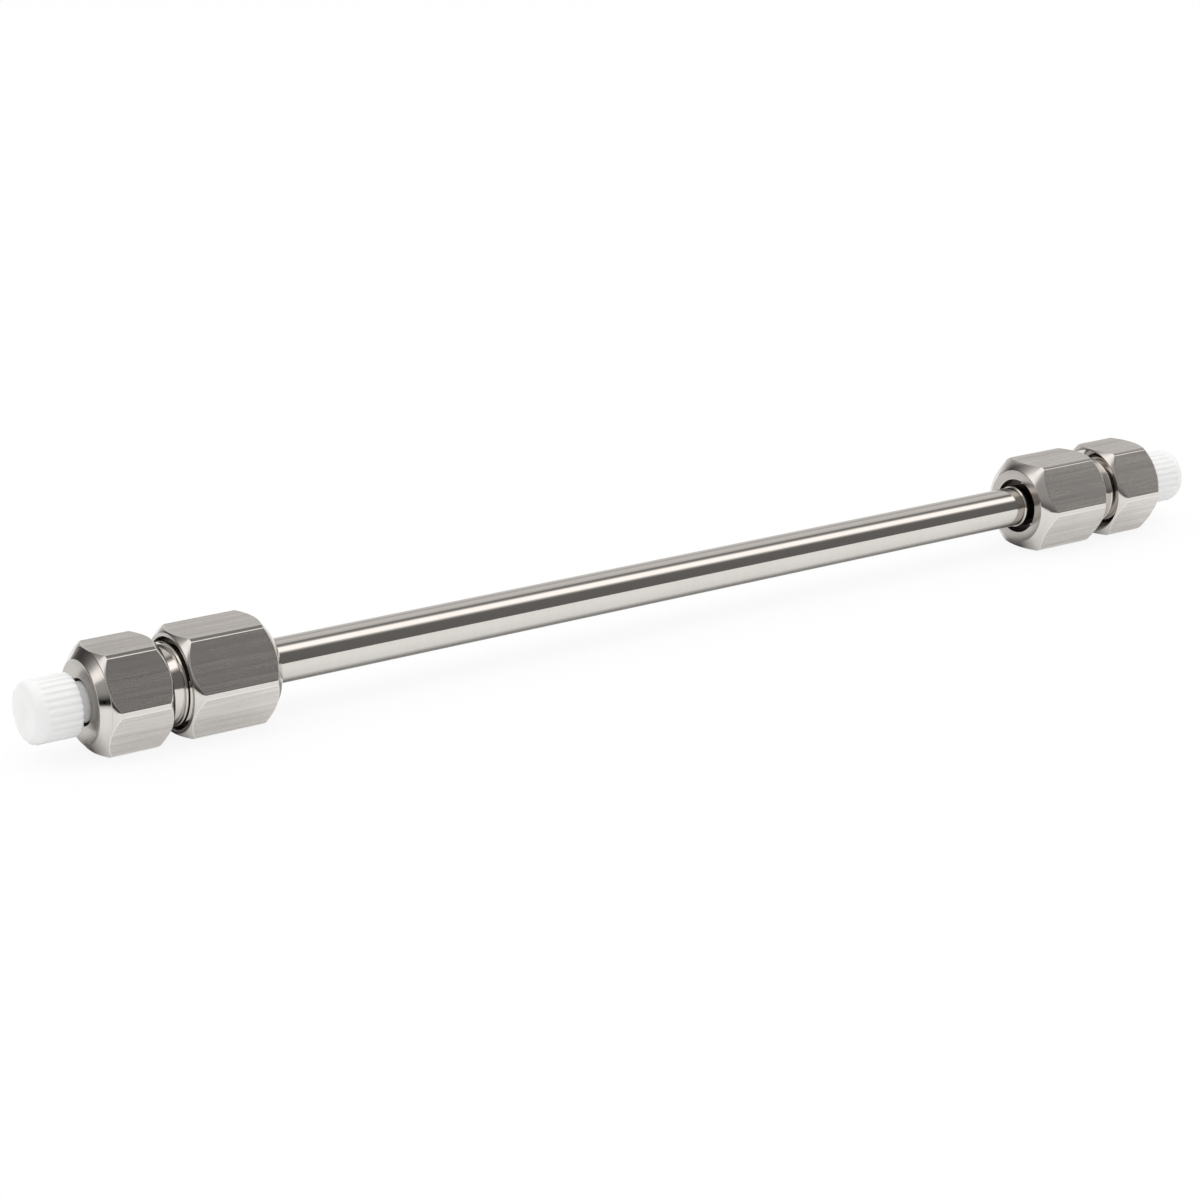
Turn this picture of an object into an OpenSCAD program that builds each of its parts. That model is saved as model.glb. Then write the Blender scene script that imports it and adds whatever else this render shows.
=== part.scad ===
// Packed liquid chromatography column with a compression end fitting and a
// transit plug at each end. The axis lies along X, the inlet end at -X, and
// the origin is the middle of the tube. All lengths are in millimetres.

/* [Column tube] */
// Length of the tube, and of the packed bed inside it
tube_length = 160; // [80:5:300]
// Outside diameter of the tube
tube_od = 6.35; // [6:0.05:7]
// Bore of the tube
tube_bore = 4.6; // [3:0.1:5]
// Chamfer on the outer edge of the tube's ends
tube_chamfer = 0.2; // [0.1:0.05:0.5]

/* [Hexagons] */
// Width across the flats of the nuts and end fittings
hex_af = 14.29; // [14:0.01:17]
// How much is turned off each sharp corner of the hexagons
corner_trim = 0.24; // [0.1:0.02:0.6]

/* [Nut] */
// Length of the nut between its end faces
nut_length = 13.9; // [13:0.1:20]
// How far the tube reaches past the nut's tube-side face
tube_entry = 9.5; // [8.5:0.1:13]
// Thickness of the nut's shoulder, through which the tube passes
nut_shoulder = 2.4; // [1.6:0.1:3]
// Bore of the nut's shoulder
nut_bore = 8.72; // [8:0.02:9.4]
// Radial width of the chamfer at the nut's tube-side end
nut_chamfer_w = 2.07; // [1.6:0.01:2.4]
// Length of the chamfer at the nut's tube-side end
nut_chamfer_l = 1.78; // [1:0.02:2.4]
// Bore of the relief at the nut's mouth
mouth_bore = 12.8; // [12.4:0.1:13.2]
// Depth of the relief at the nut's mouth
mouth_depth = 1.3; // [0.8:0.1:2]

/* [End fitting] */
// Gap left between the nut's mouth and the fitting's hexagon
neck_gap = 2.75; // [1.5:0.05:4]
// Length of the fitting from the neck side of its hexagon to its port face
fitting_length = 10.4; // [9.5:0.1:14]
// Radial width of the chamfer on the hexagons' neck sides
neck_chamfer_w = 1.05; // [0.6:0.01:1.2]
// Length of the chamfer on the hexagons' neck sides
neck_chamfer_l = 1.17; // [0.6:0.01:1.6]
// Diameter of the flat port face
port_face_d = 11.56; // [10:0.02:12.4]
// Length of the turned cone between the port face and the hexagon's chamfer
boss_cone_l = 1.13; // [0.6:0.01:1.6]
// Length of the chamfer that trims the corners beside the turned cone
boss_chamfer_l = 0.92; // [0.5:0.01:1.4]
// Outside diameter of the fitting's thread, drawn plain
thread_d = 12; // [11.4:0.05:12.2]
// Diameter of the polished neck between the hexagon and the thread
neck_d = 10.9; // [10:0.05:11.2]
// Length of the polished neck
neck_l = 2.1; // [1.2:0.1:3.2]
// Chamfer on the nose
nose_chamfer = 0.4; // [0.2:0.05:0.8]
// Depth of the conical seat for the front ferrule
seat_depth = 2; // [1.4:0.1:2.2]
// Half angle of the conical seat
seat_angle = 25; // [18:1:30]

/* [Port] */
// Nominal diameter of the port's thread, drawn plain
port_thread_d = 4.83; // [4.5:0.01:5]
// Bore of the counterbore at the port's mouth
port_mouth_d = 6.2; // [6:0.1:8]
// Depth of the counterbore at the port's mouth
port_mouth_depth = 1.5; // [0.8:0.1:2]
// Bevel round the port's mouth
port_bevel = 0.2; // [0.1:0.05:0.4]
// Length of the port's threaded part
port_thread_l = 6; // [5:0.1:6.5]
// Depth of the conical seat below the thread
port_cone_l = 2; // [1.5:0.1:2.4]
// Bore of the pilot that takes the capillary
pilot_bore = 1.65; // [1.2:0.05:2]
// Depth of the pilot
pilot_l = 0.8; // [0.4:0.1:1]
// Bore of the passage between the pilot and the frit
passage_bore = 0.5; // [0.3:0.05:0.8]

/* [Frit and ferrules] */
// Thickness of the frit and its ring
frit_thickness = 1.6; // [1:0.1:2]
// Diameter of the frit inside its ring
frit_d = 5; // [4.6:0.1:5.4]
// Depth of the cone that spreads the flow over the frit
spread_depth = 0.35; // [0.2:0.05:0.6]
// Wall of the collar's sleeve, which sits on the tube
collar_wall = 0.2; // [0.15:0.05:0.5]
// How far the collar stands out of the nut's shoulder
collar_out = 0.95; // [0.3:0.05:2]
// Bevel on the collar's outer edge
collar_bevel = 0.1; // [0.05:0.05:0.1]
// Diameter of the flange that the nut's shoulder pushes on
flange_d = 10.2; // [9.8:0.1:11]
// Thickness of the collar's flange
flange_l = 0.9; // [0.6:0.1:1.4]
// Thickness of the back ferrule's rim
back_rim_l = 1.5; // [1:0.1:1.8]
// Diameter of the back ferrule's rim and of the front ferrule's back face
ferrule_d = 9.4; // [9:0.1:10]
// Diameter of the cone where the back ferrule enters the front one
nest_d = 8; // [7.6:0.1:8.4]
// Length of that cone
nest_l = 0.8; // [0.4:0.1:1]
// Gap between the back ferrule's rim and the fitting's nose
ferrule_gap = 1.3; // [1:0.05:2]

/* [Plug] */
// Diameter of the plug's head over the ribs
head_d = 8.7; // [7.4:0.1:9.5]
// Length of the plug's head
head_l = 6.7; // [5.5:0.1:8]
// Gap between the port face and the plug's head
head_gap = 1.35; // [0.5:0.05:2.5]
// Radius of the head's outer shoulder
head_round = 1.1; // [0.6:0.1:1.6]
// Round on the edge of the head that faces the port
head_edge = 0.25; // [0.1:0.05:0.4]
// Number of ribs round the head
rib_count = 28; // [20:1:36]
// Diameter of the round groove between two ribs
groove_d = 0.7; // [0.4:0.05:0.8]
// Depth of the groove between two ribs
groove_depth = 0.2; // [0.1:0.02:0.3]
// Length of the smooth end of the head, beyond the ribs
rib_margin = 1.5; // [1.2:0.1:2.5]
// How far the flat end of the head is dished
dish_depth = 0.15; // [0.05:0.05:0.3]
// Length of the plug's tip cone
tip_l = 1.2; // [0.8:0.1:1.4]
// Diameter of the plug's flat tip
tip_d = 2.4; // [1.6:0.1:3]

/* [Clearances] */
// Radial clearance of the thread in the nut and of the tube in its pocket
fit_gap = 0.02; // [0.01:0.01:0.05]
// Radial clearance of the plug's shank in the port
plug_gap = 0.05; // [0.02:0.01:0.08]
// Radial clearance of the plug's smooth neck in the counterbore
neck_play = 0.3; // [0.1:0.05:0.4]
// Gap left in the port under the plug's neck, and under its tip
tip_gap = 0.3; // [0.1:0.05:0.5]

/* [Hidden] */

// facets of a turned surface, and how far a cut runs past the face that it opens
turned_fn = 72;
past = 0.5;

// the two ends point along -X and +X
inlet = -1;
outlet = 1;

tube_r = tube_od / 2;
corner_r = hex_af / 2 / cos(30) - corner_trim;
flat_r = hex_af / 2;
thread_r = thread_d / 2;
pocket_r = tube_r + fit_gap;
collar_r = tube_r + collar_wall;
port_r = port_thread_d / 2 + plug_gap;
shank_r = port_thread_d / 2;
plug_neck_r = port_mouth_d / 2 - neck_play;

// stations along the axis, measured outward from the middle of the tube
tube_end = tube_length / 2;
nut_face = tube_end - tube_entry;
nut_inside = nut_face + nut_shoulder;
nut_mouth = nut_face + nut_length;
hex_start = nut_mouth + neck_gap;
frit_out = tube_end + frit_thickness;
port_face = hex_start + fitting_length;
thread_in = port_face - port_mouth_depth;
thread_end = thread_in - port_thread_l;
cone_end = thread_end - port_cone_l;
pilot_end = cone_end - pilot_l;
collar_front = nut_face - collar_out;
flange_end = nut_inside + flange_l;
back_rim_end = flange_end + back_rim_l;
nose = back_rim_end + ferrule_gap;
seat_end = nose + seat_depth;
head_in = port_face + head_gap;
head_out = head_in + head_l;
plug_neck_end = thread_in + tip_gap;
tip_end = thread_end + tip_gap;

// radius of the conical seat at its mouth, and the ferrule's nose that meets it
seat_r = pocket_r + seat_depth * tan(seat_angle);
ferrule_nose = seat_end - 0.2 * seat_depth;
ferrule_nose_r = pocket_r + 0.2 * seat_depth * tan(seat_angle);

tube_colour = [0.80, 0.79, 0.78];
brushed_colour = [0.66, 0.65, 0.64];
inner_steel_colour = [0.58, 0.58, 0.58];
frit_colour = [0.50, 0.49, 0.47];
ring_colour = [0.80, 0.72, 0.58];
bed_colour = [0.94, 0.93, 0.90];
plug_colour = [0.96, 0.96, 0.96];

// turns Z into the outward direction of one end, with flats below and above
module at_end(side) {
    rotate([0, 90 * side, 0])
        children();
}

// solid of revolution about the outward axis, from [radius, station] points
module turned(points) {
    rotate_extrude($fn = turned_fn)
        polygon(points);
}

// cylinder between two stations
module plain(r, from, to) {
    translate([0, 0, from])
        cylinder(r = r, h = to - from, $fn = turned_fn);
}

// cone frustum between two stations
module taper(r_from, r_to, from, to) {
    translate([0, 0, from])
        cylinder(r1 = r_from, r2 = r_to, h = to - from, $fn = turned_fn);
}

// hexagon bar with a flat straight below the axis, trimmed to a turned profile
module turned_hexagon(from, to, profile) {
    intersection() {
        translate([0, 0, from])
            rotate([0, 0, 30])
                cylinder(d = hex_af / cos(30), h = to - from, $fn = 6);
        turned(profile);
    }
}

module column_tube() {
    color(tube_colour)
        rotate([0, 90, 0])
            difference() {
                turned([
                    [0, -tube_end],
                    [tube_r - tube_chamfer, -tube_end],
                    [tube_r, -tube_end + tube_chamfer],
                    [tube_r, tube_end - tube_chamfer],
                    [tube_r - tube_chamfer, tube_end],
                    [0, tube_end]
                ]);
                plain(tube_bore / 2, -tube_end - past, tube_end + past);
            }
}

module packed_bed() {
    color(bed_colour)
        rotate([0, 90, 0])
            plain(tube_bore / 2, -tube_end, tube_end);
}

module frit(side) {
    color(frit_colour)
        at_end(side)
            plain(frit_d / 2, tube_end, frit_out);
}

module frit_ring(side) {
    color(ring_colour)
        at_end(side)
            difference() {
                plain(pocket_r, tube_end, frit_out);
                plain(frit_d / 2, tube_end - past, frit_out + past);
            }
}

// swaged onto the tube, and pressed into the seat in the fitting's nose
module front_ferrule(side) {
    color(inner_steel_colour)
        at_end(side)
            difference() {
                turned([
                    [0, back_rim_end],
                    [ferrule_d / 2, back_rim_end],
                    [ferrule_d / 2, nose - (ferrule_d / 2 - seat_r)],
                    [seat_r, nose],
                    [ferrule_nose_r, ferrule_nose],
                    [0, ferrule_nose]
                ]);
                plain(tube_r, back_rim_end - past, ferrule_nose + past);
                taper(nest_d / 2, tube_r, back_rim_end, back_rim_end + nest_l);
            }
}

module back_ferrule(side) {
    color(inner_steel_colour)
        at_end(side)
            difference() {
                turned([
                    [0, flange_end],
                    [ferrule_d / 2, flange_end],
                    [ferrule_d / 2, back_rim_end],
                    [nest_d / 2, back_rim_end],
                    [tube_r, back_rim_end + nest_l],
                    [0, back_rim_end + nest_l]
                ]);
                plain(tube_r, flange_end - past, back_rim_end + nest_l + past);
            }
}

// sleeve with a flange, through which the nut's shoulder pushes on the ferrules
module collar(side) {
    color(inner_steel_colour)
        at_end(side)
            difference() {
                turned([
                    [0, collar_front],
                    [collar_r - collar_bevel, collar_front],
                    [collar_r, collar_front + collar_bevel],
                    [collar_r, nut_inside],
                    [flange_d / 2, nut_inside],
                    [flange_d / 2, flange_end],
                    [0, flange_end]
                ]);
                plain(tube_r, collar_front - past, flange_end + past);
            }
}

module nut(side) {
    color(brushed_colour)
        at_end(side)
            difference() {
                turned_hexagon(nut_face, nut_mouth, [
                    [0, nut_face],
                    [corner_r - nut_chamfer_w, nut_face],
                    [corner_r, nut_face + nut_chamfer_l],
                    [corner_r, nut_mouth - neck_chamfer_l],
                    [corner_r - neck_chamfer_w, nut_mouth],
                    [0, nut_mouth]
                ]);
                plain(nut_bore / 2, nut_face - past, nut_inside + past);
                plain(thread_r + fit_gap, nut_inside, nut_mouth + past);
                plain(mouth_bore / 2, nut_mouth - mouth_depth, nut_mouth + past);
            }
}

// turned outline of the end fitting, from its nose to its port face
module fitting_outline() {
    neck_end = hex_start - neck_l;
    thread_start = neck_end - (thread_d - neck_d) / 2;
    turned([
        [0, nose],
        [thread_r - nose_chamfer, nose],
        [thread_r, nose + nose_chamfer],
        [thread_r, thread_start],
        [neck_d / 2, neck_end],
        [neck_d / 2, hex_start + past],
        [0, hex_start + past]
    ]);
    turned_hexagon(hex_start, port_face, [
        [0, hex_start],
        [corner_r - neck_chamfer_w, hex_start],
        [corner_r, hex_start + neck_chamfer_l],
        [corner_r, port_face - boss_cone_l - boss_chamfer_l],
        [flat_r, port_face - boss_cone_l],
        [port_face_d / 2, port_face],
        [0, port_face]
    ]);
}

// ferrule seat, tube pocket, flow path and port, from the nose outward
module fitting_bores() {
    taper(seat_r, pocket_r, nose, seat_end);
    plain(seat_r, nose - past, nose);
    plain(pocket_r, seat_end, frit_out);
    taper(tube_bore / 2, passage_bore / 2, frit_out, frit_out + spread_depth);
    plain(passage_bore / 2, frit_out, pilot_end + past);
    plain(pilot_bore / 2, pilot_end, cone_end);
    taper(pilot_bore / 2, port_r, cone_end, thread_end);
    plain(port_r, thread_end, thread_in);
    plain(port_mouth_d / 2, thread_in, port_face + past);
    taper(port_mouth_d / 2, port_mouth_d / 2 + port_bevel, port_face - port_bevel, port_face);
}

module end_fitting(side) {
    color(brushed_colour)
        at_end(side)
            difference() {
                fitting_outline();
                fitting_bores();
            }
}

// round-shouldered head with ribs that fade out before the smooth end
module plug_head() {
    shoulder = head_out - head_round;
    difference() {
        turned(concat(
            [[0, head_in], [head_d / 2 - head_edge, head_in]],
            [[head_d / 2, head_in + head_edge]],
            [for (a = [0 : 15 : 90])
                [head_d / 2 - head_round * (1 - cos(a)), shoulder + head_round * sin(a)]],
            [[0, head_out - dish_depth]]
        ));
        for (i = [0 : rib_count - 1])
            rotate([0, 0, i * 360 / rib_count])
                translate([head_d / 2 - groove_depth + groove_d / 2, 0, head_in - past])
                    cylinder(d = groove_d, h = head_l - rib_margin + past, $fn = 16);
    }
}

module plug(side) {
    color(plug_colour)
        at_end(side) {
            plug_head();
            turned([
                [0, tip_end - tip_l],
                [tip_d / 2, tip_end - tip_l],
                [shank_r, tip_end],
                [shank_r, plug_neck_end],
                [plug_neck_r, plug_neck_end],
                [plug_neck_r, head_in + past],
                [0, head_in + past]
            ]);
        }
}

column_tube();
packed_bed();
frit(inlet);  // inlet_frit
frit_ring(inlet);  // inlet_frit_ring
front_ferrule(inlet);  // inlet_front_ferrule
back_ferrule(inlet);  // inlet_back_ferrule
collar(inlet);  // inlet_collar
nut(inlet);  // inlet_nut
end_fitting(inlet);  // inlet_end_fitting
plug(inlet);  // inlet_plug
frit(outlet);  // outlet_frit
frit_ring(outlet);  // outlet_frit_ring
front_ferrule(outlet);  // outlet_front_ferrule
back_ferrule(outlet);  // outlet_back_ferrule
collar(outlet);  // outlet_collar
nut(outlet);  // outlet_nut
end_fitting(outlet);  // outlet_end_fitting
plug(outlet);  // outlet_plug
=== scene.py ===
import math

import bmesh
import bpy
from mathutils import Matrix, Vector


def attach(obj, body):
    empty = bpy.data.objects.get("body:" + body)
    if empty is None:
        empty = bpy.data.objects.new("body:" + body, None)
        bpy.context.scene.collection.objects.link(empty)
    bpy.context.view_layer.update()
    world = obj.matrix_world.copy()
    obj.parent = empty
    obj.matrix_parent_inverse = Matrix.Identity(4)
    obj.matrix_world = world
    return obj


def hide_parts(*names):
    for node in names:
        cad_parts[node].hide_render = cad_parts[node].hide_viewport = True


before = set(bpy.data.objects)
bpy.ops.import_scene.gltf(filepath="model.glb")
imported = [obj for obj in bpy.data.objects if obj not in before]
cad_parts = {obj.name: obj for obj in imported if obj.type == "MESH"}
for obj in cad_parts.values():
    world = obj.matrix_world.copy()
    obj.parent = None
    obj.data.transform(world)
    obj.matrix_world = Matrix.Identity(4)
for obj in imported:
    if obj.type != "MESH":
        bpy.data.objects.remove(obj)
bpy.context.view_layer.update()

mm = 0.001
ends = {"inlet": -1, "outlet": 1}

cameraSetup = {
    "place": (-0.247384, -0.32457, 0.127791),
    "turn": (72.142, -0.483, -35.619),   # degrees
    "fieldOfView": 23.857,               # degrees, across a sensor 36 millimetres wide
    "sensor": 36, "clip": (0.01, 50),
}


def makeCamera(setup):
    data = bpy.data.cameras.new("camera")
    data.sensor_width = setup["sensor"]
    data.sensor_height = setup["sensor"]
    data.sensor_fit = "HORIZONTAL"
    data.angle = math.radians(setup["fieldOfView"])
    data.clip_start, data.clip_end = setup["clip"]
    camera = bpy.data.objects.new("camera", data)
    camera.location = setup["place"]
    camera.rotation_euler = [math.radians(a) for a in setup["turn"]]
    bpy.context.collection.objects.link(camera)
    bpy.context.scene.camera = camera


makeCamera(cameraSetup)
print("camera set")


def newGroup(name, inputs, outputs):
    group = bpy.data.node_groups.new(name, "ShaderNodeTree")
    for socketName, kind, value in inputs:
        socket = group.interface.new_socket(name=socketName, in_out="INPUT", socket_type=kind)
        socket.default_value = value
    for socketName, kind in outputs:
        group.interface.new_socket(name=socketName, in_out="OUTPUT", socket_type=kind)
    return group, group.nodes.new("NodeGroupInput"), group.nodes.new("NodeGroupOutput")


# The value is a plain number or another node's output.
def feedSocket(tree, socket, value):
    if isinstance(value, (int, float)):
        socket.default_value = value
    else:
        tree.links.new(value, socket)


def mathNode(tree, operation, *values):
    node = tree.nodes.new("ShaderNodeMath")
    node.operation = operation
    for socket, value in zip(node.inputs, values):
        feedSocket(tree, socket, value)
    return node.outputs[0]


# A sum of two values, each times its own share.
def weighNodes(tree, first, firstShare, second, secondShare):
    return mathNode(tree, "ADD", mathNode(tree, "MULTIPLY", first, firstShare),
                    mathNode(tree, "MULTIPLY", second, secondShare))


def noiseNode(tree, vector, scale, detail=2.0, roughness=0.5):
    node = tree.nodes.new("ShaderNodeTexNoise")
    node.inputs["Detail"].default_value = detail
    node.inputs["Roughness"].default_value = roughness
    feedSocket(tree, node.inputs["Scale"], scale)
    tree.links.new(vector, node.inputs["Vector"])
    return node.outputs["Fac"]


# Runs from low to high as the value goes from start to stop, and no further.
def spanValues(tree, value, low, high, start=0.0, stop=1.0):
    node = tree.nodes.new("ShaderNodeMapRange")
    node.inputs["From Min"].default_value = start
    node.inputs["From Max"].default_value = stop
    node.inputs["To Min"].default_value = low
    node.inputs["To Max"].default_value = high
    tree.links.new(value, node.inputs["Value"])
    return node.outputs[0]


def splitPlace(tree, kind="Object"):
    apart = tree.nodes.new("ShaderNodeSeparateXYZ")
    tree.links.new(tree.nodes.new("ShaderNodeTexCoord").outputs[kind], apart.inputs[0])
    return apart.outputs


turningSetup = {"waverScale": 500.0, "waverSize": 0.0002, "broadFineness": 0.18,
                "fineShare": 0.65, "broadShare": 0.35}


# Fine rings left by a lathe, round the X axis. Fineness is in lines per metre.
def makeTurningMarks(setup):
    group, given, result = newGroup(
        "turningMarks",
        [("Fineness", "NodeSocketFloat", 9000.0), ("Waver", "NodeSocketFloat", 0.3)],
        [("Height", "NodeSocketFloat"), ("Streak", "NodeSocketFloat")])
    fineness = given.outputs["Fineness"]
    place = group.nodes.new("ShaderNodeTexCoord").outputs["Object"]
    apart = group.nodes.new("ShaderNodeSeparateXYZ")
    group.links.new(place, apart.inputs[0])
    ySquare = mathNode(group, "MULTIPLY", apart.outputs["Y"], apart.outputs["Y"])
    zSquare = mathNode(group, "MULTIPLY", apart.outputs["Z"], apart.outputs["Z"])
    radius = mathNode(group, "SQRT", mathNode(group, "ADD", ySquare, zSquare))
    waver = mathNode(group, "MULTIPLY", noiseNode(group, place, setup["waverScale"]),
                     given.outputs["Waver"])
    waver = mathNode(group, "MULTIPLY", waver, setup["waverSize"])
    rings = group.nodes.new("ShaderNodeCombineXYZ")
    group.links.new(apart.outputs["X"], rings.inputs["X"])
    group.links.new(mathNode(group, "ADD", radius, waver), rings.inputs["Y"])
    fine = noiseNode(group, rings.outputs[0], fineness, 3.0, 0.6)
    broad = noiseNode(group, rings.outputs[0],
                      mathNode(group, "MULTIPLY", fineness, setup["broadFineness"]))
    group.links.new(weighNodes(group, fine, setup["fineShare"], broad, setup["broadShare"]),
                    result.inputs["Height"])
    group.links.new(broad, result.inputs["Streak"])
    return group


brushSetup = {"broadFineness": 0.3, "fineShare": 0.5, "broadShare": 0.5,
              "streakFrom": 0.36, "streakTo": 0.64}


# Scratches along X from a belt or a drawn bar, long in X and fine across it.
def makeBrushMarks(setup):
    group, given, result = newGroup(
        "brushMarks",
        [("Fineness", "NodeSocketFloat", 9000.0), ("Length", "NodeSocketFloat", 0.018)],
        [("Height", "NodeSocketFloat"), ("Streak", "NodeSocketFloat")])
    fineness = given.outputs["Fineness"]
    apart = splitPlace(group)
    lines = group.nodes.new("ShaderNodeCombineXYZ")
    group.links.new(mathNode(group, "MULTIPLY", apart["X"], given.outputs["Length"]),
                    lines.inputs["X"])
    group.links.new(apart["Y"], lines.inputs["Y"])
    group.links.new(apart["Z"], lines.inputs["Z"])
    fine = noiseNode(group, lines.outputs[0], fineness)
    broad = noiseNode(group, lines.outputs[0],
                      mathNode(group, "MULTIPLY", fineness, setup["broadFineness"]), 3.0)
    both = weighNodes(group, fine, setup["fineShare"], broad, setup["broadShare"])
    group.links.new(both, result.inputs["Height"])
    group.links.new(spanValues(group, both, 0, 1, setup["streakFrom"], setup["streakTo"]),
                    result.inputs["Streak"])
    return group


patchSetup = {"from": 0.42, "to": 0.68}


# Soft patches left by hands and wiping: 0 clean, 1 marked.
def makeHandling(setup):
    group, given, result = newGroup(
        "handling",
        [("Scale", "NodeSocketFloat", 160.0), ("Amount", "NodeSocketFloat", 0.5)],
        [("Mask", "NodeSocketFloat")])
    place = group.nodes.new("ShaderNodeTexCoord").outputs["Object"]
    patches = noiseNode(group, place, given.outputs["Scale"], 4.0, 0.55)
    spread = spanValues(group, patches, 0, 1, setup["from"], setup["to"])
    group.links.new(mathNode(group, "MULTIPLY", spread, given.outputs["Amount"]),
                    result.inputs["Mask"])
    return group


turningMarks = makeTurningMarks(turningSetup)
brushMarks = makeBrushMarks(brushSetup)
handling = makeHandling(patchSetup)


def newMaterial(name):
    material = bpy.data.materials.new(name)
    material.use_nodes = True
    tree = material.node_tree
    return material, tree, tree.nodes["Principled BSDF"]


def placeGroup(tree, group, **values):
    node = tree.nodes.new("ShaderNodeGroup")
    node.node_tree = group
    for name, value in values.items():
        node.inputs[name].default_value = value
    return node


def mixColours(tree, mask, low, high):
    node = tree.nodes.new("ShaderNodeMix")
    node.data_type = "RGBA"
    node.inputs["A"].default_value = (*low, 1)
    node.inputs["B"].default_value = (*high, 1)
    tree.links.new(mask, node.inputs["Factor"])
    return node.outputs["Result"]


def bumpFrom(tree, height, distance):
    node = tree.nodes.new("ShaderNodeBump")
    node.inputs["Distance"].default_value = distance
    tree.links.new(height, node.inputs["Height"])
    return node.outputs["Normal"]


toneShares = {"streak": 0.7, "patch": 0.3}


# One maker for every bare metal surface; marks is the group that draws its tool lines.
def makeMetal(name, marks, finish):
    material, tree, shader = newMaterial(name)
    lines = placeGroup(tree, marks, Fineness=finish["fineness"])
    patches = placeGroup(tree, handling, Scale=finish["patchScale"], Amount=finish["patchAmount"])
    streak, patch = lines.outputs["Streak"], patches.outputs["Mask"]
    tone = weighNodes(tree, streak, toneShares["streak"], patch, toneShares["patch"])
    tree.links.new(mixColours(tree, tone, finish["bright"], finish["dull"]),
                   shader.inputs["Base Color"])
    rough = mathNode(tree, "ADD", spanValues(tree, streak, *finish["roughness"]),
                     mathNode(tree, "MULTIPLY", patch, finish["patchRoughness"]))
    tree.links.new(rough, shader.inputs["Roughness"])
    tree.links.new(bumpFrom(tree, lines.outputs["Height"], finish["depth"]),
                   shader.inputs["Normal"])
    shader.inputs["Metallic"].default_value = 1.0
    shader.inputs["Anisotropic"].default_value = finish["anisotropy"]
    shader.inputs["Anisotropic Rotation"].default_value = finish["anisotropyTurn"]
    tangent = tree.nodes.new("ShaderNodeTangent")   # round the axis of the column
    tangent.direction_type = "RADIAL"
    tangent.axis = "X"
    tree.links.new(tangent.outputs[0], shader.inputs["Tangent"])
    return material


polishedTube = makeMetal("polishedTube", turningMarks, {
    "bright": (0.72, 0.69, 0.655), "dull": (0.66, 0.635, 0.60), "roughness": (0.05, 0.09),
    "fineness": 5000.0, "depth": 0.0000006, "patchScale": 90.0, "patchAmount": 0.6,
    "patchRoughness": 0.03, "anisotropy": 0.0, "anisotropyTurn": 0.0})
turnedSteel = makeMetal("turnedSteel", turningMarks, {
    "bright": (0.74, 0.71, 0.68), "dull": (0.64, 0.61, 0.58), "roughness": (0.09, 0.15),
    "fineness": 9000.0, "depth": 0.000001, "patchScale": 220.0, "patchAmount": 0.5,
    "patchRoughness": 0.04, "anisotropy": 0.5, "anisotropyTurn": 0.25})
polishedNeck = makeMetal("polishedNeck", turningMarks, {
    "bright": (0.72, 0.69, 0.655), "dull": (0.66, 0.63, 0.60), "roughness": (0.08, 0.12),
    "fineness": 6000.0, "depth": 0.000001, "patchScale": 220.0, "patchAmount": 0.4,
    "patchRoughness": 0.03, "anisotropy": 0.0, "anisotropyTurn": 0.0})
brushedFlat = makeMetal("brushedFlat", brushMarks, {
    "bright": (0.76, 0.73, 0.70), "dull": (0.56, 0.535, 0.505), "roughness": (0.20, 0.32),
    "fineness": 3200.0, "depth": 0.0000016, "patchScale": 180.0, "patchAmount": 0.4,
    "patchRoughness": 0.04, "anisotropy": 0.7, "anisotropyTurn": 0.0})
# Rims of the flats: polished, and brighter than the other steel as a painted highlight along the
# edges.
rimSteelAndHighlight = makeMetal("rimSteelAndHighlight", brushMarks, {
    "bright": (0.86, 0.83, 0.80), "dull": (0.78, 0.75, 0.72), "roughness": (0.07, 0.11),
    "fineness": 4200.0, "depth": 0.0000005, "patchScale": 220.0, "patchAmount": 0.3,
    "patchRoughness": 0.02, "anisotropy": 0.0, "anisotropyTurn": 0.0})
# Faced ends: a rougher facing finish, and a darker colour that is painted shade for the dim room
# they mirror.
facedSteelAndShade = makeMetal("facedSteelAndShade", turningMarks, {
    "bright": (0.56, 0.53, 0.50), "dull": (0.44, 0.41, 0.385), "roughness": (0.20, 0.30),
    "fineness": 7000.0, "depth": 0.000002, "patchScale": 260.0, "patchAmount": 0.5,
    "patchRoughness": 0.05, "anisotropy": 0.75, "anisotropyTurn": 0.25})
# Near-black steel for bores: painted shade, standing in for the shadow deep inside them.
paintedShadeBore = makeMetal("paintedShadeBore", turningMarks, {
    "bright": (0.10, 0.088, 0.08), "dull": (0.06, 0.052, 0.048), "roughness": (0.40, 0.55),
    "fineness": 5000.0, "depth": 0.000004, "patchScale": 260.0, "patchAmount": 0.5,
    "patchRoughness": 0.05, "anisotropy": 0.0, "anisotropyTurn": 0.0})
ferruleSteel = makeMetal("ferruleSteel", turningMarks, {
    "bright": (0.66, 0.64, 0.62), "dull": (0.52, 0.50, 0.48), "roughness": (0.22, 0.34),
    "fineness": 8000.0, "depth": 0.000003, "patchScale": 300.0, "patchAmount": 0.4,
    "patchRoughness": 0.08, "anisotropy": 0.0, "anisotropyTurn": 0.0})


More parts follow.
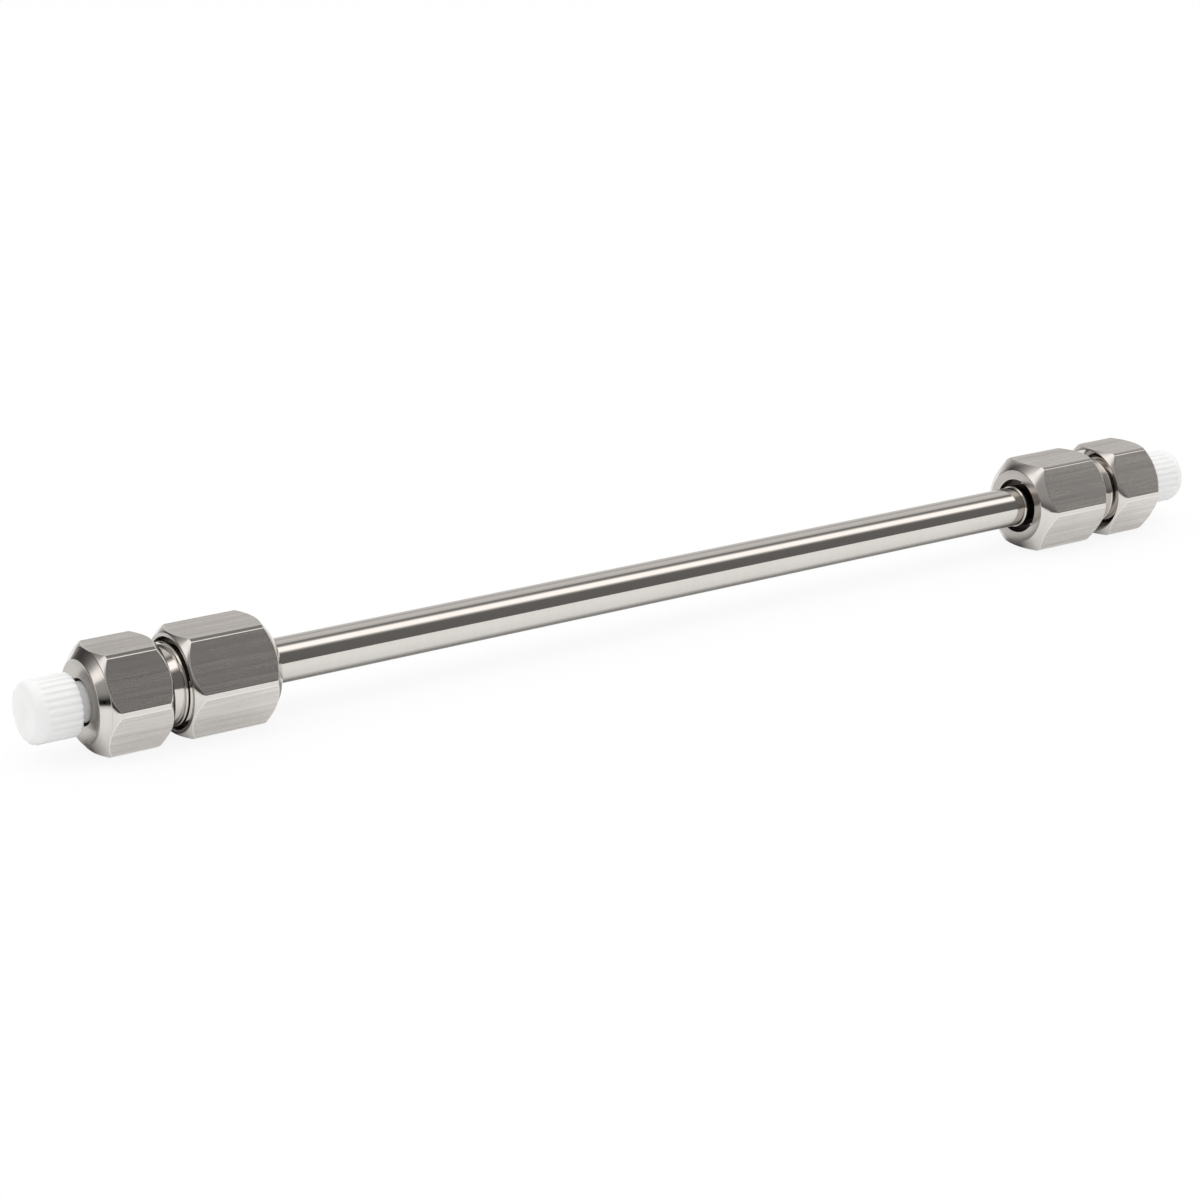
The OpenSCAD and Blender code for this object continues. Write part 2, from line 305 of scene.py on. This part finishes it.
# Grains pressed and fused together, for the frits and the packing.
def makeGrains(name, finish):
    material, tree, shader = newMaterial(name)
    place = tree.nodes.new("ShaderNodeTexCoord").outputs["Object"]
    cells = tree.nodes.new("ShaderNodeTexVoronoi")
    cells.inputs["Scale"].default_value = finish["grainsPerMetre"]
    tree.links.new(place, cells.inputs["Vector"])
    away = cells.outputs["Distance"]
    patches = placeGroup(tree, handling, Scale=finish["patchScale"], Amount=finish["patchAmount"])
    tone = mathNode(tree, "ADD", away, patches.outputs["Mask"])
    tree.links.new(mixColours(tree, tone, finish["bright"], finish["dull"]),
                   shader.inputs["Base Color"])
    tree.links.new(spanValues(tree, away, *finish["roughness"]), shader.inputs["Roughness"])
    tree.links.new(bumpFrom(tree, away, finish["depth"]), shader.inputs["Normal"])
    shader.inputs["Metallic"].default_value = finish["metallic"]
    return material


sinteredSteel = makeGrains("sinteredSteel", {
    "bright": (0.56, 0.54, 0.52), "dull": (0.30, 0.29, 0.28), "roughness": (0.35, 0.6),
    "grainsPerMetre": 22000.0, "depth": 0.00001, "patchScale": 400.0, "patchAmount": 0.5,
    "metallic": 1.0})
silicaPacking = makeGrains("silicaPacking", {
    "bright": (0.92, 0.91, 0.88), "dull": (0.80, 0.79, 0.76), "roughness": (0.8, 0.95),
    "grainsPerMetre": 60000.0, "depth": 0.000004, "patchScale": 400.0, "patchAmount": 0.5,
    "metallic": 0.0})


# Moulded plastic with a faint orange-peel skin.
def makeMoulded(name, finish):
    material, tree, shader = newMaterial(name)
    place = tree.nodes.new("ShaderNodeTexCoord").outputs["Object"]
    peel = noiseNode(tree, place, finish["peelScale"], 3.0, 0.5)
    patches = placeGroup(tree, handling, Scale=finish["patchScale"], Amount=finish["patchAmount"])
    tree.links.new(mixColours(tree, patches.outputs["Mask"], finish["colour"], finish["shade"]),
                   shader.inputs["Base Color"])
    tree.links.new(spanValues(tree, peel, *finish["roughness"]), shader.inputs["Roughness"])
    tree.links.new(bumpFrom(tree, peel, finish["depth"]), shader.inputs["Normal"])
    shader.inputs["Subsurface Weight"].default_value = finish["translucency"]
    shader.inputs["Subsurface Radius"].default_value = finish["scatterTint"]
    shader.inputs["Subsurface Scale"].default_value = finish["scatterReach"]
    shader.inputs["IOR"].default_value = finish["bending"]
    return material


whitePlastic = makeMoulded("whitePlastic", {
    "colour": (0.90, 0.90, 0.895), "shade": (0.87, 0.87, 0.865), "roughness": (0.30, 0.42),
    "peelScale": 1400.0, "depth": 0.000006, "patchScale": 350.0, "patchAmount": 0.8,
    "translucency": 0.25, "scatterTint": (1.0, 0.95, 0.9), "scatterReach": 0.001, "bending": 1.49})
sealPlastic = makeMoulded("sealPlastic", {
    "colour": (0.74, 0.63, 0.45), "shade": (0.68, 0.57, 0.40), "roughness": (0.35, 0.5),
    "peelScale": 1800.0, "depth": 0.000004, "patchScale": 500.0, "patchAmount": 0.8,
    "translucency": 0.0, "scatterTint": (1.0, 0.95, 0.9), "scatterReach": 0.001, "bending": 1.49})
print("materials made")

shapeSetup = {
    "roundingSteps": 3, "weld": 0.002,
    "cutReach": 0.001, "flatCorners": 20,    # a face with more corners is a milled flat
    "inward": -0.5, "axial": 0.97,           # how far a normal leans, for bores and faced ends
}


# Turns a loop of [station, radius] corners round the X axis. A third number rounds a corner.
def spinLoop(bm, corners, steps, closed=True):
    made = [bm.verts.new((c[0] * mm, 0, c[1] * mm)) for c in corners]
    pairs = list(zip(made, made[1:] + made[:1]))
    if not closed:
        pairs.pop()
    for pair in pairs:
        bm.edges.new(pair)
    for size in sorted({c[2] for c in corners if len(c) > 2}):
        wanted = [v for v, c in zip(made, corners) if len(c) > 2 and c[2] == size]
        bmesh.ops.bevel(bm, geom=wanted, offset=size * mm, offset_type="OFFSET",
                        segments=shapeSetup["roundingSteps"], profile=0.5,
                        affect="VERTICES", material=-1)
    loop = set()
    for vert in bm.verts:
        if vert.link_edges and not vert.link_faces:
            loop.add(vert)
            loop.update(vert.link_edges)
    bmesh.ops.spin(bm, geom=list(loop), cent=(0, 0, 0), axis=(1, 0, 0), angle=math.tau,
                   steps=steps, use_merge=True)
    bmesh.ops.remove_doubles(bm, verts=bm.verts, dist=shapeSetup["weld"] * mm)
    bmesh.ops.recalc_face_normals(bm, faces=bm.faces)


# Mills six flats, the first one straight up. Each is cut a little deep, then raised inside
# its rim.
def millFlats(bm, acrossFlats, rim):
    for index in range(6):
        angle = math.radians(90 + 60 * index)
        outward = Vector((0, math.cos(angle), math.sin(angle)))
        cut = bmesh.ops.bisect_plane(
            bm, geom=bm.verts[:] + bm.edges[:] + bm.faces[:], dist=shapeSetup["cutReach"] * mm,
            plane_co=outward * (acrossFlats / 2 - rim / 2) * mm, plane_no=outward,
            clear_outer=True)
        edges = [e for e in cut["geom_cut"] if isinstance(e, bmesh.types.BMEdge)]
        bmesh.ops.holes_fill(bm, edges=edges, sides=0)
    bmesh.ops.recalc_face_normals(bm, faces=bm.faces)
    flats = [f for f in bm.faces if len(f.verts) > shapeSetup["flatCorners"]]
    rims = bmesh.ops.inset_individual(bm, faces=flats, thickness=rim * mm, depth=rim / 2 * mm,
                                      use_even_offset=True)["faces"]
    return flats, rims


def setRadius(vert, radius, wanted):
    vert.co.y *= wanted / radius
    vert.co.z *= wanted / radius


# Shares of the pitch, apart from sink, which buries the foot of the ridge in its core.
ridgeSetup = {"foot": 0.46, "crest": 0.10, "fade": 0.6, "sink": 0.05, "stepsPerTurn": 40}


# Winds a ridge of thread round a core, fading out at both ends.
def windThread(bm, thread):
    pitch, steps = thread["pitch"], ridgeSetup["stepsPerTurn"]
    turns = int((thread["to"] - thread["from"]) / pitch)
    foot, crest = pitch * ridgeSetup["foot"], pitch * ridgeSetup["crest"]
    base = thread["core"] - ridgeSetup["sink"]
    section = [(-foot, base), (-crest, thread["crest"]), (crest, thread["crest"]), (foot, base)]
    made = [bm.verts.new(((thread["from"] + a) * mm, 0, r * mm)) for a, r in section]
    edges = [bm.edges.new(pair) for pair in zip(made, made[1:] + made[:1])]
    bmesh.ops.spin(bm, geom=made + edges, cent=(0, 0, 0), axis=(1, 0, 0),
                   dvec=(pitch / steps * mm, 0, 0), angle=math.tau * turns,
                   steps=steps * turns, use_merge=False)
    bmesh.ops.holes_fill(bm, edges=[e for e in bm.edges if e.is_boundary], sides=4)
    last = thread["from"] + pitch * turns
    for vert in bm.verts:
        station = vert.co.x / mm
        radius = math.hypot(vert.co.y, vert.co.z) / mm
        room = min(station - thread["from"], last - station) / (pitch * ridgeSetup["fade"])
        setRadius(vert, radius, base + (radius - base) * max(0.0, min(1.0, room)))
    bmesh.ops.recalc_face_normals(bm, faces=bm.faces)


# Bores point inward and get near-black steel, a painted shade for the shadow deep inside them.
# Faced ends point along the axis and get darker steel, partly a rougher facing and partly painted
# shade.
def paintTurned(bm, materials):
    for face in bm.faces:
        middle, normal = face.calc_center_median(), face.normal
        lean = middle.y * normal.y + middle.z * normal.z
        if lean < shapeSetup["inward"] * math.hypot(middle.y, middle.z):
            face.material_index = materials.index(paintedShadeBore)
        elif abs(normal.x) > shapeSetup["axial"]:
            face.material_index = materials.index(facedSteelAndShade)


def paintFaces(faces, materials, material):
    for face in faces:
        face.material_index = materials.index(material)


# Faces whose centres lie between two stations and between two radii.
def facesNear(bm, start, stop, innerRadius, outerRadius):
    found = []
    for face in bm.faces:
        middle = face.calc_center_median()
        radius = math.hypot(middle.y, middle.z)
        if start * mm < middle.x < stop * mm and innerRadius * mm < radius < outerRadius * mm:
            found.append(face)
    return found


# Turns a finished shape to its end of the column and makes the object. Edges that turn by more
# than sharpAngle, in degrees, stay sharp.
def finishPiece(bm, name, side, body, node, materials, sharpAngle=28):
    if side < 0:
        bmesh.ops.rotate(bm, verts=bm.verts, cent=(0, 0, 0),
                         matrix=Matrix.Rotation(math.pi, 3, "Z"))
    mesh = bpy.data.meshes.new(name)
    for face in bm.faces:
        face.smooth = True
    bm.to_mesh(mesh)
    bm.free()
    mesh.set_sharp_from_angle(angle=math.radians(sharpAngle))
    for material in materials:
        mesh.materials.append(material)
    piece = bpy.data.objects.new(name, mesh)
    bpy.context.collection.objects.link(piece)
    even = piece.modifiers.new("evenNormals", "WEIGHTED_NORMAL")
    even.keep_sharp = True
    even.weight = 100   # large faces keep their own direction
    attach(piece, body)
    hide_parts(node)
    return piece


tubeSetup = {"length": 160.0, "radius": 3.175, "bore": 2.3, "edge": 0.2, "steps": 192}


def makeTube(setup):
    bm = bmesh.new()
    half = setup["length"] / 2
    spinLoop(bm, [(-half, setup["bore"]), (-half, setup["radius"], setup["edge"]),
                  (half, setup["radius"], setup["edge"]), (half, setup["bore"])], setup["steps"])
    finishPiece(bm, "columnTube", 1, "column", "column_tube", [polishedTube])


makeTube(tubeSetup)
print("tube made")

nutSetup = {
    "acrossFlats": 14.29, "rim": 0.14, "steps": 288,
    "corners": [
        (70.5, 4.36, 0.1), (70.5, 5.94, 0.08), (72.28, 8.01, 0.08), (83.23, 8.01, 0.08),
        (84.4, 6.96, 0.08), (84.4, 6.4, 0.08), (83.1, 6.4), (83.1, 6.02, 0.08), (72.9, 6.02),
        (72.9, 4.36)],
    # the thread bore below is painted near black as shade
    "inside": (72.5, 84.3, 0.0, 6.5),   # stations and radii of the dark thread bore
}


def makeNut(setup, end, side):
    materials = [turnedSteel, brushedFlat, facedSteelAndShade, paintedShadeBore, rimSteelAndHighlight]
    bm = bmesh.new()
    spinLoop(bm, setup["corners"], setup["steps"])
    flats, rims = millFlats(bm, setup["acrossFlats"], setup["rim"])
    paintTurned(bm, materials)
    # Painted shade: the thread bore inside the nut is near-black steel.
    paintFaces(facesNear(bm, *setup["inside"]), materials, paintedShadeBore)
    paintFaces(flats, materials, brushedFlat)
    paintFaces(rims, materials, rimSteelAndHighlight)
    finishPiece(bm, end + "Nut", side, "column", end + "_nut", materials)


for end, side in ends.items():
    makeNut(nutSetup, end, side)
print("nuts made")

fittingSetup = {
    "acrossFlats": 14.29, "rim": 0.14, "steps": 288,
    "thread": {"pitch": 1.0, "core": 5.46, "crest": 6.0, "from": 77.4, "to": 84.45},
    "portThread": {"pitch": 0.794, "crest": 2.465, "root": 2.75, "turns": 7, "from": 95.8,
                   "crestWidth": 0.25, "rootPlace": 0.52},
    "outside": [
        (76.6, 4.128), (76.6, 5.3, 0.1), (76.8, 5.46), (84.25, 5.46), (84.4, 5.85, 0.04),
        (84.97, 5.85, 0.08), (85.06, 5.45), (87.15, 5.45, 0.25),
        (87.15, 6.96, 0.08), (88.32, 8.01, 0.08), (95.5, 8.01, 0.08), (96.39, 7.17, 0.03),
        (96.42, 7.08, 0.03), (97.55, 5.78, 0.1), (97.55, 3.3, 0.05), (97.35, 3.1),
        (96.05, 3.1), (96.05, 2.6)],
    "flowPath": [
        (90.05, 2.465), (88.05, 0.825), (87.25, 0.825), (87.25, 0.25), (81.95, 0.25),
        (81.6, 2.3), (81.6, 3.195), (78.6, 3.195)],
    "neck": (0.0, 87.16, 5.3, 100.0),   # stations and radii of the polished neck and its face
}


def makeFitting(setup, end, side):
    materials = [turnedSteel, brushedFlat, polishedNeck, facedSteelAndShade, paintedShadeBore, rimSteelAndHighlight]
    bm = bmesh.new()
    port = setup["portThread"]
    rings = []
    for turn in range(port["turns"]):
        station = port["from"] - port["pitch"] * turn
        rings += [(station, port["crest"]), (station - port["crestWidth"], port["crest"]),
                  (station - port["rootPlace"], port["root"])]
    windThread(bm, setup["thread"])
    spinLoop(bm, setup["outside"] + rings + setup["flowPath"], setup["steps"])
    flats, rims = millFlats(bm, setup["acrossFlats"], setup["rim"])
    paintTurned(bm, materials)
    paintFaces(facesNear(bm, *setup["neck"]), materials, polishedNeck)
    paintFaces(flats, materials, brushedFlat)
    paintFaces(rims, materials, rimSteelAndHighlight)
    finishPiece(bm, end + "EndFitting", side, "column", end + "_end_fitting",
                materials)


for end, side in ends.items():
    makeFitting(fittingSetup, end, side)
print("end fittings made")

collarSetup = {
    "steps": 144,
    "corners": [(69.55, 3.18), (69.55, 3.275, 0.02), (69.65, 3.375, 0.03), (72.9, 3.375),
                (72.9, 5.1), (73.8, 5.1), (73.8, 3.18)],
}


def makeCollar(setup, end, side):
    bm = bmesh.new()
    spinLoop(bm, setup["corners"], setup["steps"])
    finishPiece(bm, end + "Collar", side, "column", end + "_collar", [polishedNeck])


for end, side in ends.items():
    makeCollar(collarSetup, end, side)
print("collars made")

plugSetup = {
    "ribs": 28, "stepsPerRib": 12, "grooveDepth": 0.17, "grooveShare": 0.66,
    "headStart": 98.9, "headEnd": 105.6, "headRadius": 4.35, "shoulder": 1.1,
    "lip": [(0.0, -0.45), (0.08, -0.15), (0.2, -0.03)],   # past the head's start and radius
    "crown": [(-0.06, 2.4, 0.3), (-0.15, 0.62), (-0.22, 0.5), (-0.2, 0)],   # past its end
    "wallStart": 99.2, "ribbedTo": 104.1, "ribbedAbove": 3.4, "fade": 0.5, "rings": 20,
    "thread": {"pitch": 0.794, "core": 2.04, "crest": 2.415, "from": 90.6, "to": 96.3},
    "shank": [(98.95, 2.8), (96.35, 2.8, 0.15), (96.35, 2.04), (90.35, 2.04, 0.1),
              (89.15, 1.2, 0.15), (89.15, 0)],
    "shankSteps": 96, "sharpAngle": 40,
}


# Presses the grooves between the ribs into the wall of the head, round in section.
def cutRibs(bm, setup):
    for vert in bm.verts:
        station, radius = vert.co.x / mm, math.hypot(vert.co.y, vert.co.z) / mm
        if radius < setup["ribbedAbove"] or station > setup["ribbedTo"]:
            continue
        turn = math.atan2(vert.co.z, vert.co.y) / math.tau * setup["ribs"] % 1 - 0.5
        inGroove = max(0.0, 1 - (2 * turn / setup["grooveShare"]) ** 2) ** 0.5
        runOut = min(1.0, (setup["ribbedTo"] - station) / setup["fade"]) ** 0.5
        setRadius(vert, radius, radius - setup["grooveDepth"] * inGroove * runOut)


def makePlug(setup, end, side):
    bm = bmesh.new()
    windThread(bm, setup["thread"])
    start, stop, edge = setup["headStart"], setup["headEnd"], setup["headRadius"]
    ringGap = (setup["ribbedTo"] - setup["wallStart"]) / setup["rings"]
    head = [(start, 0)] + [(start + along, edge + out) for along, out in setup["lip"]]
    head += [(setup["wallStart"] + ringGap * i, edge) for i in range(setup["rings"] + 1)]
    head += [(stop, edge, setup["shoulder"])] + [(stop + c[0], *c[1:]) for c in setup["crown"]]
    spinLoop(bm, head, setup["ribs"] * setup["stepsPerRib"], closed=False)
    cutRibs(bm, setup)
    spinLoop(bm, setup["shank"], setup["shankSteps"], closed=False)
    finishPiece(bm, end + "Plug", side, end + "_plug", end + "_plug",
                [whitePlastic], setup["sharpAngle"])


for end, side in ends.items():
    makePlug(plugSetup, end, side)
print("plugs made")

# The pieces sealed inside keep their solids.
innerFinish = {"packed_bed": silicaPacking}
for end in ends:
    innerFinish[end + "_frit"] = sinteredSteel
    innerFinish[end + "_frit_ring"] = sealPlastic
    innerFinish[end + "_front_ferrule"] = ferruleSteel
    innerFinish[end + "_back_ferrule"] = ferruleSteel
for node, material in innerFinish.items():
    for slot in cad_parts[node].material_slots:
        slot.material = material
print("inner pieces finished")

# White is the share of plain white that the camera sees and that metal mirrors. Metal mirrors the
# floor darker under the column, a painted shadow, and black far to its left, a painted dark
# reflection.
floorSetup = {
    "size": 6.0, "height": -0.007145,
    "colour": (0.92, 0.92, 0.915), "roughness": 0.9, "gloss": 0.1,
    "white": 0.88, "whiteInMetal": 0.5,
    "shade": {"middle": 1.0, "from": 1.6, "to": 5.2},    # millimetres
    "farLeft": {"from": -166.0, "to": -128.0},
}


def joinShades(tree, mask, first, second):
    join = tree.nodes.new("ShaderNodeMixShader")
    for index, value in enumerate((mask, first, second)):
        tree.links.new(value, join.inputs[index])
    return join.outputs[0]


def makeFloor(setup):
    bm = bmesh.new()
    bmesh.ops.create_grid(bm, x_segments=1, y_segments=1, size=setup["size"] / 2)
    bmesh.ops.translate(bm, verts=bm.verts, vec=(0, 0, setup["height"]))
    mesh = bpy.data.meshes.new("floor")
    bm.to_mesh(mesh)
    bm.free()
    material, tree, shader = newMaterial("paperFloor")
    shader.inputs["Base Color"].default_value = (*setup["colour"], 1)
    shader.inputs["Roughness"].default_value = setup["roughness"]
    shader.inputs["Specular IOR Level"].default_value = setup["gloss"]
    glow = tree.nodes.new("ShaderNodeEmission")
    seen = tree.nodes.new("ShaderNodeLightPath")
    inCamera = seen.outputs["Is Camera Ray"]
    mirrored = mathNode(tree, "MAXIMUM", seen.outputs["Is Glossy Ray"],
                        seen.outputs["Is Transmission Ray"])
    place = splitPlace(tree)
    shade, left = setup["shade"], setup["farLeft"]
    # Painted shadow: in metal, the floor in a strip under the column is mixed halfway to black.
    away = mathNode(tree, "ABSOLUTE",
                    mathNode(tree, "SUBTRACT", place["Y"], shade["middle"] * mm))
    clear = spanValues(tree, away, 0, 1, shade["from"] * mm, shade["to"] * mm)
    near = spanValues(tree, place["X"], 0, 1, left["from"] * mm, left["to"] * mm)
    tree.links.new(mathNode(tree, "MAXIMUM", inCamera, mathNode(tree, "MULTIPLY", clear, near)),
                   glow.inputs["Strength"])
    # Far to the left, metal mirrors the floor as black, a painted dark reflection.
    inMetal = mathNode(tree, "MAXIMUM", mathNode(tree, "SUBTRACT", 1.0, near),
                       setup["whiteInMetal"])
    share = mathNode(tree, "ADD", mathNode(tree, "MULTIPLY", inCamera, setup["white"]),
                     mathNode(tree, "MULTIPLY", mirrored, inMetal))
    tree.links.new(joinShades(tree, share, shader.outputs[0], glow.outputs[0]),
                   tree.nodes["Material Output"].inputs["Surface"])
    mesh.materials.append(material)
    floor = bpy.data.objects.new("floor", mesh)
    bpy.context.collection.objects.link(floor)


makeFloor(floorSetup)

boxTurn = -15.5   # degrees in plan, from the column to the soft boxes

# What metal mirrors, as levels by the angle in degrees up and over from the front: a dim room,
# a bright strip box, a wide soft box and a pale wall. The room to the left of the column has
# levels of its own, and leftEdge is where it takes over.
worldSetup = {
    "light": (0.72, 0.72, 0.72), "background": (1.0, 1.0, 1.0), "tint": (1.0, 0.977, 0.96),
    "mirrored": [(0, 0.15), (58, 0.16), (66, 0.55), (73, 1.45), (92, 1.45), (98, 0.5),
                 (104, 0.22), (109, 0.22), (116, 0.6), (124, 0.7), (137, 0.72), (145, 0.52),
                 (151, 0.5), (158, 0.68), (180, 0.7)],
    "mirroredLeft": [(0, 0.10), (4, 0.14), (10, 0.22), (18, 0.32), (30, 0.36), (50, 0.38),
                     (59, 0.44), (67, 1.1), (83, 1.28), (96, 1.15), (104, 0.75), (113, 0.45),
                     (122, 0.30), (132, 0.17), (144, 0.10), (156, 0.06), (168, 0.08),
                     (180, 0.22)],
    "leftEdge": (-0.2, 0.1),
}


def rampLevels(tree, angle, levels, tint):
    ramp = tree.nodes.new("ShaderNodeValToRGB")
    tree.links.new(mathNode(tree, "DIVIDE", angle, math.pi), ramp.inputs[0])
    stops = ramp.color_ramp.elements
    while len(stops) < len(levels):
        stops.new(1.0)
    for stop, (degrees, level) in zip(stops, levels):
        stop.position = degrees / 180
        stop.color = (*[level * t for t in tint], 1)
    return ramp.outputs["Color"]


def makeWorld(setup):
    world = bpy.data.worlds.new("studio")
    bpy.context.scene.world = world
    world.use_nodes = True
    world.cycles.sampling_method = "NONE"
    tree = world.node_tree
    toward = splitPlace(tree, "Generated")
    turn = math.radians(boxTurn)
    across = weighNodes(tree, toward["Y"], math.cos(turn), toward["X"], -math.sin(turn))
    angle = mathNode(tree, "ARCTAN2", toward["Z"], mathNode(tree, "MULTIPLY", across, -1))
    both = tree.nodes.new("ShaderNodeMix")
    both.data_type = "RGBA"
    tree.links.new(spanValues(tree, toward["X"], 1, 0, *setup["leftEdge"]),
                   both.inputs["Factor"])
    for socketName, levels in (("A", setup["mirrored"]), ("B", setup["mirroredLeft"])):
        tree.links.new(rampLevels(tree, angle, levels, setup["tint"]), both.inputs[socketName])
    light, room, background = [tree.nodes.new("ShaderNodeBackground") for _ in range(3)]
    light.inputs["Color"].default_value = (*setup["light"], 1)
    background.inputs["Color"].default_value = (*setup["background"], 1)
    tree.links.new(both.outputs["Result"], room.inputs["Color"])
    seen = tree.nodes.new("ShaderNodeLightPath").outputs
    lit = joinShades(tree, seen["Is Glossy Ray"], light.outputs[0], room.outputs[0])
    tree.links.new(joinShades(tree, seen["Is Camera Ray"], lit, background.outputs[0]),
                   tree.nodes["World Output"].inputs["Surface"])


makeWorld(worldSetup)

# The same two boxes overhead as lamps, facing down, for everything but mirrored light.
lampSetup = {
    "keyLamp": {"place": (0, -0.1, 1.0), "size": (3.4, 0.46), "power": 7.5},
    "backLamp": {"place": (0, 0.9, 1.0), "size": (3.4, 0.82), "power": 5.7},
}


def makeLamp(name, setup):
    data = bpy.data.lights.new(name, "AREA")
    data.shape = "RECTANGLE"
    data.size, data.size_y = setup["size"]
    data.energy = setup["power"]
    lamp = bpy.data.objects.new(name, data)
    lamp.location = setup["place"]
    lamp.rotation_euler = (0, 0, math.radians(boxTurn))
    lamp.visible_camera = False
    lamp.visible_glossy = False
    bpy.context.collection.objects.link(lamp)


for name, setup in lampSetup.items():
    makeLamp(name, setup)
print("floor, world and lamps made")

bpy.context.scene.view_settings.view_transform = "Standard"
